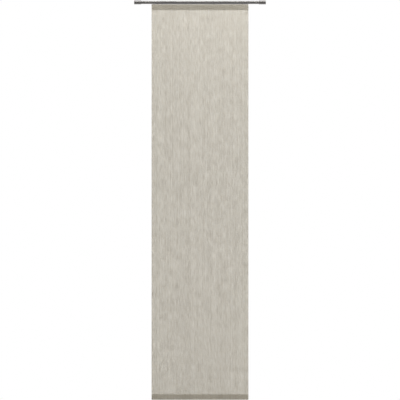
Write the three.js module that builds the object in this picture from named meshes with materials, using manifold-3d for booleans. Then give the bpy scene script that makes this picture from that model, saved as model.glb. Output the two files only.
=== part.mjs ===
// Sliding panel curtain: a flat woven panel that hangs from a carrier and rolls sideways in a round slotted rod.
// Millimetres, +Z up. The origin is on the floor of the bracket groove along the rod's crown, at mid length.
// +X runs along the rod to the right as the room sees it, and the room is on the -Y side.
import * as THREE from "three";
import { mergeVertices } from "three/addons/utils/BufferGeometryUtils.js";
import Module from "manifold-3d";

const wasm = await Module();
wasm.setup();

// The panel and its cloth
const PANEL_WIDTH = 600;
const PANEL_DROP = 2450;
const CLOTH_THICKNESS = 0.6;
const RIB_COUNT = 48;
const RIB_HEIGHT = 0.4;
const SLUB_ROWS = 16;
const RIB_MARGIN = 4;
const RIB_LEAST_SHARE = 0.3;
const RIB_DRIFT = 0.6;
const ROW_DRIFT = 0.8;
const TOP_TURN = 31;

// The rod
const ROD_DIAMETER = 20;
const ROD_WALL = 1.6;
const ROD_OVERHANG = 100;
const SLOT_WIDTH = 6;
const LIP_DEPTH = 4;
const BRACKET_GROOVE_WIDTH = 4;
const BRACKET_GROOVE_SETBACK = 4;
const CROWN_WALL = 0.9;

// The grooved finials, pushed over the ends of the rod
const FINIAL_WALL = 1.6;
const FINIAL_HEAD = 8;
const FINIAL_SOCKET = 35;
const FINIAL_CHAMFER = 0.8;
const GROOVE_COUNT = 3;
const GROOVE_WIDTH = 2.4;
const GROOVE_FLOOR = 1.2;
const GROOVE_DEPTH = 0.8;

// Grub screws
const SCREW_DIAMETER = 4;
const SCREW_POINT = 0.5;
const HEX_ACROSS_CORNERS = 2.3;
const HEX_DEPTH = 0.8;

// The runners and their wheels
const RUNNER_COUNT = 4;
const RUNNER_INSET = 37.5;
const RUNNER_LENGTH = 10;
const NECK_LENGTH = 5.6;
const EYE_SHARE = 0.7;
const BOSS_DIAMETER = 4;
const AXLE_DIAMETER = 2;
const AXLE_END = 0.5;
const AXLE_CHAMFER = 0.3;
const WHEEL_RIM = 0.9;
const WHEEL_DISH = 0.3;
const FOOT_HEIGHT = 2.2;
const FOOT_CHAMFER = 0.7;

// The end stops inside the rod
const STOP_LENGTH = 12;
const STOP_HEIGHT = 8.4;
const STOP_CHAMFER = 1.2;

// The panel carrier, a light-alloy extrusion
const CARRIER_HEIGHT = 35.5;
const CARRIER_GAP = 1;
const CARRIER_REVEAL = 0.5;
const HEAD_DEPTH = 10;
const HEAD_WALL = 1.1;
const PLATE_THICKNESS = 1.6;
const PLATE_LIP = 2;
const RECESS_DEPTH = 0.5;
const CARRIER_CAP = 2;
const CAP_PEG = 8;

// The hook tape on the carrier and the loop tape on the cloth
const TAPE_HEIGHT = 25;
const HOOK_TAPE_THICKNESS = 1.2;
const HOOK_BACKING = 0.5;
const HOOK_ROWS = 8;
const HOOK_FOOT_SHARE = 0.5;
const HOOK_TIP_SHARE = 0.4;
const LOOP_TAPE_THICKNESS = 1;
const SELVEDGE_THICKNESS = 0.35;
const SELVEDGE_WIDTH = 1.8;

// The weight bar in the bottom hem
const BAR_HEIGHT = 31;
const BAR_DEPTH = 4;
const BAR_WALL = 0.9;
const BAR_CAP = 2;
const BAR_PLUG = 10;
const BAR_INSET = 1;
const SEAM_RISE = 1.6;
const SEAM_ALLOWANCE = 1.5;

// Clearances
const SEAT_GAP = 0.3;
const RUNNING_GAP = 0.1;
const PRESS_GAP = 0.05;
const GLUE_LINE = 0.15;
const NECK_GAP = 0.6;
const HEADROOM = 0.9;
const EDGE_GAP = 1.3;
const HEM_EMBED = 0.1;

// Facets of the round pieces
const ROD_ARC_STEPS = 18;
const FINIAL_FACETS = 24;
const WHEEL_FACETS = 16;
const SMALL_FACETS = 12;
const HEM_ARC_STEPS = 4;

// The rod's section, from its axis
const rodRadius = ROD_DIAMETER / 2;
const boreRadius = rodRadius - ROD_WALL;
const slotHalf = SLOT_WIDTH / 2;
const lipCornerZ = -Math.sqrt(rodRadius ** 2 - slotHalf ** 2);
const ledgeZ = lipCornerZ + LIP_DEPTH;
const ledgeHalf = Math.sqrt(boreRadius ** 2 - ledgeZ ** 2);
const grooveFloorZ = boreRadius + CROWN_WALL;
const rodLength = PANEL_WIDTH + 2 * ROD_OVERHANG;

// The wheels fill the channel above the ledges
const wheelInner = slotHalf;
const wheelOuter = ledgeHalf - SEAT_GAP;
const channelTop = Math.sqrt(boreRadius ** 2 - wheelOuter ** 2);
const wheelRadius = (channelTop - HEADROOM - ledgeZ - SEAT_GAP) / 2;
const wheelZ = ledgeZ + SEAT_GAP + wheelRadius;
const neckHalf = slotHalf - NECK_GAP;

// The finials grip the rod, each with a grub screw that ends just below its surface
const finialSocketRadius = holeRadius(rodRadius, SEAT_GAP, FINIAL_FACETS);
const finialRadius = finialSocketRadius + FINIAL_WALL;
const finialLength = FINIAL_HEAD + FINIAL_SOCKET;
const finialScrewLength = finialRadius - rodRadius - 2 * SEAT_GAP;

// The carrier hangs under the rod by the feet of the runners
const carrierTop = -(rodRadius + CARRIER_GAP);
const carrierBottom = carrierTop - CARRIER_HEIGHT;
const headHalf = HEAD_DEPTH / 2;
const mouthHalf = neckHalf + SEAT_GAP;
const channelHalf = headHalf - HEAD_WALL;
const footTop = carrierTop - HEAD_WALL - SEAT_GAP;
const footBottom = footTop - FOOT_HEIGHT;
const channelFloor = footBottom - SEAT_GAP;
const headBottom = channelFloor - HEAD_WALL;
const carrierLength = PANEL_WIDTH - 2 * (CARRIER_CAP + SEAT_GAP);

// The cloth lies on the tapes, and the tapes on the carrier, one in front of the other
const clothTop = carrierTop - CARRIER_REVEAL;
const clothBottom = clothTop - PANEL_DROP;
const tapeTop = (clothTop + carrierBottom + TAPE_HEIGHT) / 2;
const recessY = -headHalf + RECESS_DEPTH;
const hookTapeY = recessY - GLUE_LINE - HOOK_TAPE_THICKNESS;
const loopTapeY = hookTapeY - GLUE_LINE - LOOP_TAPE_THICKNESS;
const sheetBackY = loopTapeY - GLUE_LINE - CLOTH_THICKNESS;

// The bottom hem folds round the weight bar
const pocketHalf = BAR_DEPTH / 2 + SEAT_GAP;
const hemWall = CLOTH_THICKNESS - HEM_EMBED;
const hemRadius = pocketHalf + hemWall;
const barBottom = hemWall + SEAT_GAP;
const barTop = barBottom + BAR_HEIGHT;
const seamHeight = barTop + SEAM_RISE;
const hemHeight = seamHeight + SEAM_ALLOWANCE;
const barLength = PANEL_WIDTH - 2 * (BAR_INSET + BAR_CAP + SEAT_GAP);

// The outer wheels roll up to the stops before the carrier meets the finials
const finialInnerEnd = rodLength / 2 + SEAT_GAP - FINIAL_SOCKET;
const travel = finialInnerEnd - PANEL_WIDTH / 2 - EDGE_GAP;
const outerRunner = PANEL_WIDTH / 2 - RUNNER_INSET;
const stopX = outerRunner + wheelRadius + travel + SEAT_GAP + STOP_LENGTH / 2;
const stopScrewTip = Math.sqrt(boreRadius ** 2 - (SCREW_DIAMETER / 2 - SCREW_POINT) ** 2) - SEAT_GAP;

const materials = {
  rod: new THREE.MeshStandardMaterial({ name: "satin_steel", color: 0x77797a, roughness: 0.38, metalness: 1 }),
  alloy: new THREE.MeshStandardMaterial({ name: "anodised_alloy", color: 0xb9b9b6, roughness: 0.42, metalness: 1 }),
  steel: new THREE.MeshStandardMaterial({ name: "zinc_steel", color: 0x8e9092, roughness: 0.35, metalness: 1 }),
  nylon: new THREE.MeshStandardMaterial({ name: "white_nylon", color: 0xe6e4dd, roughness: 0.5, metalness: 0 }),
  plastic: new THREE.MeshStandardMaterial({ name: "grey_plastic", color: 0x8d8b87, roughness: 0.55, metalness: 0 }),
  tape: new THREE.MeshStandardMaterial({ name: "tape", color: 0x9a958c, roughness: 0.9, metalness: 0 }),
  cloth: new THREE.MeshStandardMaterial({ name: "slub_cloth", color: 0xc6c1b3, roughness: 0.92, metalness: 0 }),
};

// A three.js geometry as a manifold solid, its shared vertices merged by position.
function solidOf(geometry) {
  const bare = geometry.clone();
  bare.deleteAttribute("normal");
  bare.deleteAttribute("uv");
  const merged = mergeVertices(bare, 1e-4);
  return new wasm.Manifold(
    new wasm.Mesh({
      numProp: 3,
      vertProperties: new Float32Array(merged.attributes.position.array),
      triVerts: new Uint32Array(merged.index.array),
    }),
  );
}

// A manifold solid as a three.js geometry.
function geometryOf(solid) {
  const mesh = solid.getMesh();
  const geometry = new THREE.BufferGeometry();
  geometry.setAttribute("position", new THREE.BufferAttribute(new Float32Array(mesh.vertProperties), 3));
  geometry.setIndex(new THREE.BufferAttribute(new Uint32Array(mesh.triVerts), 1));
  const flat = geometry.toNonIndexed();
  flat.computeVertexNormals();
  return flat;
}

// A shape drawn in Y and Z, extruded along X and centred on x = 0.
function extrudedAlongX(shape, length, curveSegments = HEM_ARC_STEPS) {
  const geometry = new THREE.ExtrudeGeometry(shape, { depth: length, bevelEnabled: false, curveSegments });
  const alongX = new THREE.Matrix4().makeBasis(
    new THREE.Vector3(0, 1, 0),
    new THREE.Vector3(0, 0, 1),
    new THREE.Vector3(1, 0, 0),
  );
  return geometry.applyMatrix4(alongX).translate(-length / 2, 0, 0);
}

// A shape drawn in X and Z, extruded along Y and centred on y = 0.
function extrudedAlongY(shape, depth, curveSegments = HEM_ARC_STEPS) {
  const geometry = new THREE.ExtrudeGeometry(shape, { depth, bevelEnabled: false, curveSegments });
  const alongY = new THREE.Matrix4().makeBasis(
    new THREE.Vector3(1, 0, 0),
    new THREE.Vector3(0, 0, 1),
    new THREE.Vector3(0, -1, 0),
  );
  return geometry.applyMatrix4(alongY).translate(0, depth / 2, 0);
}

// A profile of [distance along the axis, radius] pairs, turned about the axis that it is drawn along.
function turned(profile, facets, axis) {
  const points = profile.map(([along, radius]) => new THREE.Vector2(radius, along));
  const geometry = new THREE.LatheGeometry(points, facets);
  if (axis === "x") geometry.rotateZ(-Math.PI / 2);
  if (axis === "z") geometry.rotateX(Math.PI / 2);
  return geometry;
}

// The corner radius of a many-sided hole whose flats clear a shaft by a gap.
function holeRadius(shaftRadius, gap, facets) {
  return (shaftRadius + gap) / Math.cos(Math.PI / facets);
}

// A polygon from [y, z] or [x, z] pairs.
function polygon(pairs) {
  return new THREE.Shape(pairs.map(([a, b]) => new THREE.Vector2(a, b)));
}

function box(width, depth, height) {
  return solidOf(new THREE.BoxGeometry(width, depth, height));
}

// A repeatable stand-in for chance: the same seed gives the same number from 0 to 1.
function chance(seed) {
  const once = Math.imul(seed ^ (seed >>> 15), 0x2c1b3c6d);
  const twice = Math.imul(once ^ (once >>> 12), 0x297a2d39);
  return ((twice ^ (twice >>> 15)) >>> 0) / 2 ** 32;
}

// The round rod: a slotted tube with two flat ledges for the wheels. The bracket groove is milled along its
// crown between the finials.
function rodGeometry() {
  const slotAngle = Math.atan2(lipCornerZ, slotHalf);
  const ledgeAngle = Math.atan2(ledgeZ, ledgeHalf);
  const shape = new THREE.Shape();
  shape.moveTo(slotHalf, lipCornerZ);
  shape.absarc(0, 0, rodRadius, slotAngle, Math.PI - slotAngle, false);
  shape.lineTo(-slotHalf, ledgeZ);
  shape.lineTo(-ledgeHalf, ledgeZ);
  shape.absarc(0, 0, boreRadius, Math.PI - ledgeAngle, ledgeAngle, true);
  shape.lineTo(slotHalf, ledgeZ);
  const grooveLength = 2 * (finialInnerEnd - BRACKET_GROOVE_SETBACK);
  const cutter = box(grooveLength, BRACKET_GROOVE_WIDTH, 2 * rodRadius).translate(0, 0, grooveFloorZ + rodRadius);
  return geometryOf(solidOf(extrudedAlongX(shape, rodLength, ROD_ARC_STEPS)).subtract(cutter));
}

// A finial: a grooved cap with a blind socket. Its outer end is at x = 0 and its socket opens towards +X.
function finialGeometry() {
  const profile = [
    [0, 0],
    [0, finialRadius - FINIAL_CHAMFER],
    [FINIAL_CHAMFER, finialRadius],
  ];
  for (let i = 1; i <= GROOVE_COUNT; i++) {
    const centre = (finialLength * i) / (GROOVE_COUNT + 1);
    profile.push([centre - GROOVE_WIDTH / 2, finialRadius]);
    profile.push([centre - GROOVE_FLOOR / 2, finialRadius - GROOVE_DEPTH]);
    profile.push([centre + GROOVE_FLOOR / 2, finialRadius - GROOVE_DEPTH]);
    profile.push([centre + GROOVE_WIDTH / 2, finialRadius]);
  }
  profile.push([finialLength - FINIAL_CHAMFER, finialRadius]);
  profile.push([finialLength, finialRadius - FINIAL_CHAMFER]);
  profile.push([finialLength, finialSocketRadius]);
  profile.push([FINIAL_HEAD, finialSocketRadius]);
  profile.push([FINIAL_HEAD, 0]);
  const screwHole = new THREE.CylinderGeometry(
    holeRadius(SCREW_DIAMETER / 2, PRESS_GAP, SMALL_FACETS),
    holeRadius(SCREW_DIAMETER / 2, PRESS_GAP, SMALL_FACETS),
    finialRadius,
    SMALL_FACETS,
  ).translate(finialScrewX(), finialRadius, 0);
  const body = solidOf(turned(profile, FINIAL_FACETS, "x"));
  return geometryOf(body.subtract(solidOf(screwHole)));
}

// The finial's screw sits in the land between its last groove and its inner end.
function finialScrewX() {
  const lastGroove = (finialLength * GROOVE_COUNT) / (GROOVE_COUNT + 1) + GROOVE_WIDTH / 2;
  return (lastGroove + finialLength) / 2;
}

// A grub screw along Z, its hex socket at the lower end and its tip at z = 0.
function grubScrewGeometry(length) {
  const radius = SCREW_DIAMETER / 2;
  const body = turned(
    [
      [-length, 0],
      [-length, radius],
      [-SCREW_POINT, radius],
      [0, radius - SCREW_POINT],
      [0, 0],
    ],
    SMALL_FACETS,
    "z",
  );
  const socket = new THREE.CylinderGeometry(HEX_ACROSS_CORNERS / 2, HEX_ACROSS_CORNERS / 2, 2 * HEX_DEPTH, 6);
  socket.rotateX(Math.PI / 2).translate(0, 0, -length);
  return geometryOf(solidOf(body).subtract(solidOf(socket)));
}

// An end stop: shoulders that bear on the ledges, a tongue in the slot and a threaded hole for its screw.
function endStopGeometry() {
  const shoulder = ledgeHalf - SEAT_GAP;
  const bottom = ledgeZ + SEAT_GAP;
  const top = bottom + STOP_HEIGHT;
  const tongue = slotHalf - SEAT_GAP;
  const tongueBottom = lipCornerZ + SEAT_GAP;
  const section = polygon([
    [-tongue, tongueBottom],
    [tongue, tongueBottom],
    [tongue, bottom],
    [shoulder, bottom],
    [shoulder, top - STOP_CHAMFER],
    [shoulder - STOP_CHAMFER, top],
    [STOP_CHAMFER - shoulder, top],
    [-shoulder, top - STOP_CHAMFER],
    [-shoulder, bottom],
    [-tongue, bottom],
  ]);
  const hole = new THREE.CylinderGeometry(
    holeRadius(SCREW_DIAMETER / 2, PRESS_GAP, SMALL_FACETS),
    holeRadius(SCREW_DIAMETER / 2, PRESS_GAP, SMALL_FACETS),
    2 * ROD_DIAMETER,
    SMALL_FACETS,
  ).rotateX(Math.PI / 2);
  return geometryOf(solidOf(extrudedAlongX(section, STOP_LENGTH)).subtract(solidOf(hole)));
}

// A runner: an eye round the axle, a neck through the slot and a foot in the carrier's channel.
function runnerGeometry() {
  const eye = wheelRadius * EYE_SHARE;
  const neck = NECK_LENGTH / 2;
  const outline = new THREE.Shape();
  outline.moveTo(neck, footTop);
  outline.lineTo(neck, ledgeZ);
  outline.lineTo(eye, wheelZ);
  outline.absarc(0, wheelZ, eye, 0, Math.PI, false);
  outline.lineTo(-neck, ledgeZ);
  outline.lineTo(-neck, footTop);
  outline.lineTo(-neck, footTop - FOOT_HEIGHT / 2);
  outline.lineTo(neck, footTop - FOOT_HEIGHT / 2);
  const plate = solidOf(extrudedAlongY(outline, 2 * neckHalf, 5));

  const half = RUNNER_LENGTH / 2;
  const foot = polygon([
    [-half + FOOT_CHAMFER, footBottom],
    [half - FOOT_CHAMFER, footBottom],
    [half, footBottom + FOOT_CHAMFER],
    [half, footTop],
    [-half, footTop],
    [-half, footBottom + FOOT_CHAMFER],
  ]);
  const footSolid = solidOf(extrudedAlongY(foot, 2 * (channelHalf - SEAT_GAP)));

  const bossHalf = wheelInner - RUNNING_GAP;
  const boss = new THREE.CylinderGeometry(BOSS_DIAMETER / 2, BOSS_DIAMETER / 2, 2 * bossHalf, SMALL_FACETS);
  const boreCorner = holeRadius(AXLE_DIAMETER / 2, RUNNING_GAP, SMALL_FACETS);
  const bore = new THREE.CylinderGeometry(boreCorner, boreCorner, 2 * SLOT_WIDTH, SMALL_FACETS);
  return geometryOf(
    plate
      .add(footSolid)
      .add(solidOf(boss.translate(0, 0, wheelZ)))
      .subtract(solidOf(bore.translate(0, 0, wheelZ))),
  );
}

// An axle pin along Y with chamfered ends.
function axleGeometry() {
  const radius = AXLE_DIAMETER / 2;
  const half = wheelOuter + AXLE_END;
  return turned(
    [
      [-half, 0],
      [-half, radius - AXLE_CHAMFER],
      [-half + AXLE_CHAMFER, radius],
      [half - AXLE_CHAMFER, radius],
      [half, radius - AXLE_CHAMFER],
      [half, 0],
    ],
    SMALL_FACETS,
    "y",
  );
}

// A wheel along Y, its inner face at y = 0 and its dished outer face at y = the wheel's width.
function wheelGeometry() {
  const width = wheelOuter - wheelInner;
  const bore = holeRadius(AXLE_DIAMETER / 2, PRESS_GAP, WHEEL_FACETS);
  const hub = BOSS_DIAMETER / 2;
  const rim = wheelRadius - WHEEL_RIM;
  return turned(
    [
      [0, bore],
      [0, wheelRadius - WHEEL_DISH],
      [WHEEL_DISH, wheelRadius],
      [width, wheelRadius],
      [width, rim],
      [width - WHEEL_DISH, hub],
      [width, hub],
      [width, bore],
      [0, bore],
    ],
    WHEEL_FACETS,
    "y",
  );
}

// The carrier's section: a channel for the runners' feet over a plate with a recess for the hook tape.
function carrierGeometry() {
  const plateBack = -headHalf + PLATE_THICKNESS;
  const section = polygon([
    [mouthHalf, carrierTop],
    [mouthHalf, carrierTop - HEAD_WALL],
    [channelHalf, carrierTop - HEAD_WALL],
    [channelHalf, channelFloor],
    [-channelHalf, channelFloor],
    [-channelHalf, carrierTop - HEAD_WALL],
    [-mouthHalf, carrierTop - HEAD_WALL],
    [-mouthHalf, carrierTop],
    [-headHalf, carrierTop],
    [-headHalf, tapeTop + SEAT_GAP],
    [recessY, tapeTop + SEAT_GAP],
    [recessY, tapeTop - TAPE_HEIGHT - SEAT_GAP],
    [-headHalf, tapeTop - TAPE_HEIGHT - SEAT_GAP],
    [-headHalf, carrierBottom],
    [plateBack + PLATE_LIP, carrierBottom],
    [plateBack + PLATE_LIP, carrierBottom + HEAD_WALL],
    [plateBack, carrierBottom + HEAD_WALL],
    [plateBack, headBottom],
    [headHalf, headBottom],
    [headHalf, carrierTop],
  ]);
  return extrudedAlongX(section, carrierLength);
}

// A carrier cap: an end plate with a peg for the channel. Its outer face is at x = 0 and the peg points to +X.
function carrierCapGeometry() {
  const plateBack = -headHalf + PLATE_THICKNESS + PLATE_LIP;
  const plate = polygon([
    [-headHalf, carrierBottom],
    [plateBack, carrierBottom],
    [plateBack, headBottom - HEAD_WALL],
    [headHalf, headBottom],
    [headHalf, carrierTop],
    [-headHalf, carrierTop],
  ]);
  const pegHalf = channelHalf - SEAT_GAP;
  const peg = polygon([
    [-pegHalf, channelFloor + SEAT_GAP],
    [pegHalf, channelFloor + SEAT_GAP],
    [pegHalf, footTop],
    [-pegHalf, footTop],
  ]);
  const pegLength = CARRIER_CAP + CAP_PEG;
  return geometryOf(
    solidOf(extrudedAlongX(plate, CARRIER_CAP).translate(CARRIER_CAP / 2, 0, 0)).add(
      solidOf(extrudedAlongX(peg, pegLength).translate(pegLength / 2 + CARRIER_CAP / 2, 0, 0)),
    ),
  );
}

// The hook tape: a backing with rows of hooks standing towards the room, their tips at y = 0.
function hookTapeGeometry() {
  const pitch = TAPE_HEIGHT / HOOK_ROWS;
  const foot = pitch * HOOK_FOOT_SHARE;
  const tip = pitch * HOOK_TIP_SHARE;
  const backing = HOOK_TAPE_THICKNESS - HOOK_BACKING;
  const pairs = [
    [HOOK_TAPE_THICKNESS, 0],
    [HOOK_TAPE_THICKNESS, -TAPE_HEIGHT],
    [backing, -TAPE_HEIGHT],
  ].reverse();
  for (let row = 0; row < HOOK_ROWS; row++) {
    const z = -pitch * (row + 0.5);
    pairs.push([backing, z + foot / 2]);
    pairs.push([0, z + tip / 2]);
    pairs.push([0, z - tip / 2]);
    pairs.push([backing, z - foot / 2]);
  }
  const [corner, below, above, ...rows] = pairs;
  return extrudedAlongX(polygon([corner, below, above, [backing, 0], ...rows]), carrierLength);
}

// The loop tape: a strip with thinner woven selvedges. Its front face is at y = 0 and its top at z = 0.
function loopTapeGeometry() {
  const slope = LOOP_TAPE_THICKNESS - SELVEDGE_THICKNESS;
  const section = polygon([
    [0, 0],
    [0, -TAPE_HEIGHT],
    [SELVEDGE_THICKNESS, -TAPE_HEIGHT],
    [SELVEDGE_THICKNESS, -TAPE_HEIGHT + SELVEDGE_WIDTH],
    [LOOP_TAPE_THICKNESS, -TAPE_HEIGHT + SELVEDGE_WIDTH + slope],
    [LOOP_TAPE_THICKNESS, -SELVEDGE_WIDTH - slope],
    [SELVEDGE_THICKNESS, -SELVEDGE_WIDTH],
    [SELVEDGE_THICKNESS, 0],
  ]);
  return extrudedAlongX(section, carrierLength);
}

// The cloth between its folds: ribs of thick and thin yarn on both faces, which swell and fade along the drop.
// Its back is at y = 0, and it stands from the lower fold to the upper one, with z = 0 at the panel's bottom.
function wovenSheet() {
  const columns = 2 * RIB_COUNT;
  const columnX = (column) => {
    const inside = column > 0 && column < columns;
    const drift = inside ? (chance(column) - 0.5) * RIB_DRIFT : 0;
    return PANEL_WIDTH * ((column + drift) / columns - 0.5);
  };
  const section = new THREE.Shape();
  section.moveTo(columnX(0), -CLOTH_THICKNESS);
  for (let column = 1; column <= columns; column++) section.lineTo(columnX(column), -CLOTH_THICKNESS);
  for (let column = columns; column >= 0; column--) section.lineTo(columnX(column), 0);
  const geometry = new THREE.ExtrudeGeometry(section, { depth: SLUB_ROWS, steps: SLUB_ROWS, bevelEnabled: false });

  const bottom = hemRadius + SEAT_GAP;
  const top = PANEL_DROP - CLOTH_THICKNESS;
  const ribBottom = hemHeight + RIB_MARGIN;
  const ribTop = PANEL_DROP - TOP_TURN - RIB_MARGIN;
  const rowPitch = (ribTop - ribBottom) / (SLUB_ROWS - 2);
  const position = geometry.attributes.position;
  for (let i = 0; i < position.count; i++) {
    const row = Math.round(position.getZ(i));
    const column = Math.round((position.getX(i) / PANEL_WIDTH + 0.5) * columns);
    const front = position.getY(i) < -CLOTH_THICKNESS / 2;
    const ribbed = row > 1 && row < SLUB_ROWS - 1;
    const seed = 7919 * row + 104729 * column;
    const share = RIB_LEAST_SHARE + (1 - RIB_LEAST_SHARE) * chance(seed);
    const swell = ribbed && column % 2 === 1 ? RIB_HEIGHT * share : 0;
    const slide = ribbed && column % 2 === 1 ? ROW_DRIFT * (chance(seed + 1) - 0.5) : 0;
    position.setY(i, position.getY(i) + (front ? -swell : swell));
    if (row === 0) position.setZ(i, bottom);
    else if (row === SLUB_ROWS) position.setZ(i, top);
    else position.setZ(i, ribBottom + rowPitch * (row - 1 + slide));
  }
  return solidOf(geometry);
}

// The bottom hem: the cloth goes round under the weight bar, up behind it and in to the seam.
function bottomHem() {
  const section = new THREE.Shape();
  section.moveTo(-hemWall, 2 * hemRadius);
  section.lineTo(-hemWall, hemRadius);
  section.absarc(pocketHalf, hemRadius, hemRadius, Math.PI, 2 * Math.PI, false);
  section.lineTo(pocketHalf + hemRadius, barTop + SEAT_GAP);
  section.lineTo(hemWall, seamHeight + hemWall);
  section.lineTo(hemWall, hemHeight);
  section.lineTo(-hemWall / 2, hemHeight);
  section.lineTo(-hemWall / 2, seamHeight);
  section.lineTo(2 * pocketHalf, barTop + SEAT_GAP);
  section.lineTo(2 * pocketHalf, hemRadius);
  section.absarc(pocketHalf, hemRadius, pocketHalf, 0, Math.PI, true);
  section.lineTo(-HEM_EMBED, hemRadius);
  section.lineTo(-HEM_EMBED, 2 * hemRadius);
  return solidOf(extrudedAlongX(section, PANEL_WIDTH));
}

// The top turning: the cloth folds over to the back, where the loop tape is sewn on it.
function topTurning() {
  const foldZ = PANEL_DROP - CLOTH_THICKNESS;
  const foldRadius = CLOTH_THICKNESS - HEM_EMBED / 2;
  const section = new THREE.Shape();
  section.moveTo(-hemWall, PANEL_DROP - TOP_TURN / 4);
  section.lineTo(-HEM_EMBED, PANEL_DROP - TOP_TURN);
  section.lineTo(CLOTH_THICKNESS, PANEL_DROP - TOP_TURN);
  section.lineTo(CLOTH_THICKNESS, foldZ);
  section.absellipse(HEM_EMBED / 2, foldZ, foldRadius, CLOTH_THICKNESS, 0, Math.PI, false);
  return solidOf(extrudedAlongX(section, PANEL_WIDTH));
}

function clothGeometry() {
  return geometryOf(wovenSheet().add(bottomHem()).add(topTurning()));
}

// A flat bar section with round edges, standing on z = 0 and centred on y = 0.
function barSection(depth, height) {
  const radius = depth / 2;
  const shape = new THREE.Shape();
  shape.moveTo(-radius, radius);
  shape.absarc(0, radius, radius, Math.PI, 2 * Math.PI, false);
  shape.lineTo(radius, height - radius);
  shape.absarc(0, height - radius, radius, 0, Math.PI, false);
  return shape;
}

// The weight bar, a flat hollow extrusion.
function weightBarGeometry() {
  const outer = solidOf(extrudedAlongX(barSection(BAR_DEPTH, BAR_HEIGHT), barLength));
  const hollow = extrudedAlongX(barSection(BAR_DEPTH - 2 * BAR_WALL, BAR_HEIGHT - 2 * BAR_WALL), 2 * barLength);
  return geometryOf(outer.subtract(solidOf(hollow.translate(0, 0, BAR_WALL))));
}

// A bar cap: an end plate with a plug for the hollow. Its outer face is at x = 0 and the plug points to +X.
function barCapGeometry() {
  const plate = extrudedAlongX(barSection(BAR_DEPTH, BAR_HEIGHT), BAR_CAP).translate(BAR_CAP / 2, 0, 0);
  const plugInset = BAR_WALL + RUNNING_GAP;
  const plugLength = BAR_CAP / 2 + BAR_PLUG;
  const plug = extrudedAlongX(
    barSection(BAR_DEPTH - 2 * plugInset, BAR_HEIGHT - 2 * plugInset),
    plugLength,
  ).translate(BAR_CAP / 2 + plugLength / 2, 0, plugInset);
  return geometryOf(solidOf(plate).add(solidOf(plug)));
}

// Adds one named piece to a group at a place.
function add(group, name, geometry, material, x = 0, y = 0, z = 0) {
  const mesh = new THREE.Mesh(geometry, material);
  mesh.name = name;
  mesh.position.set(x, y, z);
  group.add(mesh);
  return mesh;
}

// The rod with what is fixed to it: two finials and two end stops, each with its screw.
function railGroup() {
  const group = new THREE.Group();
  group.position.z = -grooveFloorZ;
  add(group, "rod", rodGeometry(), materials.rod);
  const outerEnd = rodLength / 2 + SEAT_GAP + FINIAL_HEAD;
  for (const [side, sign] of [["left", -1], ["right", 1]]) {
    const finial = add(group, `finial_${side}`, finialGeometry(), materials.rod, sign * outerEnd);
    finial.rotation.y = sign > 0 ? Math.PI : 0;
    const screwX = sign * (outerEnd - finialScrewX());
    const screwTip = rodRadius + SEAT_GAP;
    const screw = grubScrewGeometry(finialScrewLength).rotateX(Math.PI / 2);
    add(group, `finial_screw_${side}`, screw, materials.steel, screwX, screwTip, 0);
    add(group, `end_stop_${side}`, endStopGeometry(), materials.nylon, sign * stopX);
    const stopScrew = grubScrewGeometry(stopScrewTip - lipCornerZ - SEAT_GAP);
    add(group, `stop_screw_${side}`, stopScrew, materials.steel, sign * stopX, 0, stopScrewTip);
  }
  return group;
}

// The four runners, each with its axle and two wheels.
function runnersGroup() {
  const group = new THREE.Group();
  const pitch = (2 * outerRunner) / (RUNNER_COUNT - 1);
  for (let i = 0; i < RUNNER_COUNT; i++) {
    const x = -outerRunner + pitch * i;
    add(group, `runner_${i + 1}`, runnerGeometry(), materials.nylon, x);
    add(group, `axle_${i + 1}`, axleGeometry(), materials.steel, x, 0, wheelZ);
    add(group, `wheel_${i + 1}_back`, wheelGeometry(), materials.nylon, x, wheelInner, wheelZ);
    const front = add(group, `wheel_${i + 1}_front`, wheelGeometry(), materials.nylon, x, -wheelInner, wheelZ);
    front.rotation.x = Math.PI;
  }
  return group;
}

// The carrier with its caps and the hook tape.
function carrierGroup() {
  const group = new THREE.Group();
  add(group, "carrier", carrierGeometry(), materials.alloy);
  add(group, "carrier_cap_left", carrierCapGeometry(), materials.plastic, -PANEL_WIDTH / 2);
  const rightCap = carrierCapGeometry().scale(-1, 1, 1);
  add(group, "carrier_cap_right", outwards(rightCap), materials.plastic, PANEL_WIDTH / 2);
  add(group, "hook_tape", hookTapeGeometry(), materials.tape, 0, hookTapeY, tapeTop);
  return group;
}

// A mirrored geometry with its faces turned to point outwards again.
function outwards(geometry) {
  const position = geometry.attributes.position;
  const corner = new THREE.Vector3();
  const other = new THREE.Vector3();
  for (let i = 0; i < position.count; i += 3) {
    corner.fromBufferAttribute(position, i + 1);
    other.fromBufferAttribute(position, i + 2);
    position.setXYZ(i + 1, other.x, other.y, other.z);
    position.setXYZ(i + 2, corner.x, corner.y, corner.z);
  }
  geometry.computeVertexNormals();
  return geometry;
}

// The cloth with the loop tape sewn on it and the weight bar in its hem.
function curtainGroup() {
  const group = new THREE.Group();
  add(group, "loop_tape", loopTapeGeometry(), materials.tape, 0, loopTapeY, tapeTop);
  add(group, "cloth_panel", clothGeometry(), materials.cloth, 0, sheetBackY, clothBottom);
  const barY = sheetBackY + pocketHalf;
  const barZ = clothBottom + barBottom;
  add(group, "weight_bar", weightBarGeometry(), materials.alloy, 0, barY, barZ);
  const capX = PANEL_WIDTH / 2 - BAR_INSET;
  add(group, "bar_cap_left", barCapGeometry(), materials.plastic, -capX, barY, barZ);
  add(group, "bar_cap_right", outwards(barCapGeometry().scale(-1, 1, 1)), materials.plastic, capX, barY, barZ);
  return group;
}

// Everything that rolls along the rod, drawn from the rod's axis.
function panelGroup() {
  const group = new THREE.Group();
  group.position.z = -grooveFloorZ;
  group.add(runnersGroup(), carrierGroup(), curtainGroup());
  return group;
}

const panelCurtain = new THREE.Group();
panelCurtain.name = "panel_curtain";
panelCurtain.add(railGroup(), panelGroup());

export default panelCurtain;
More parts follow.
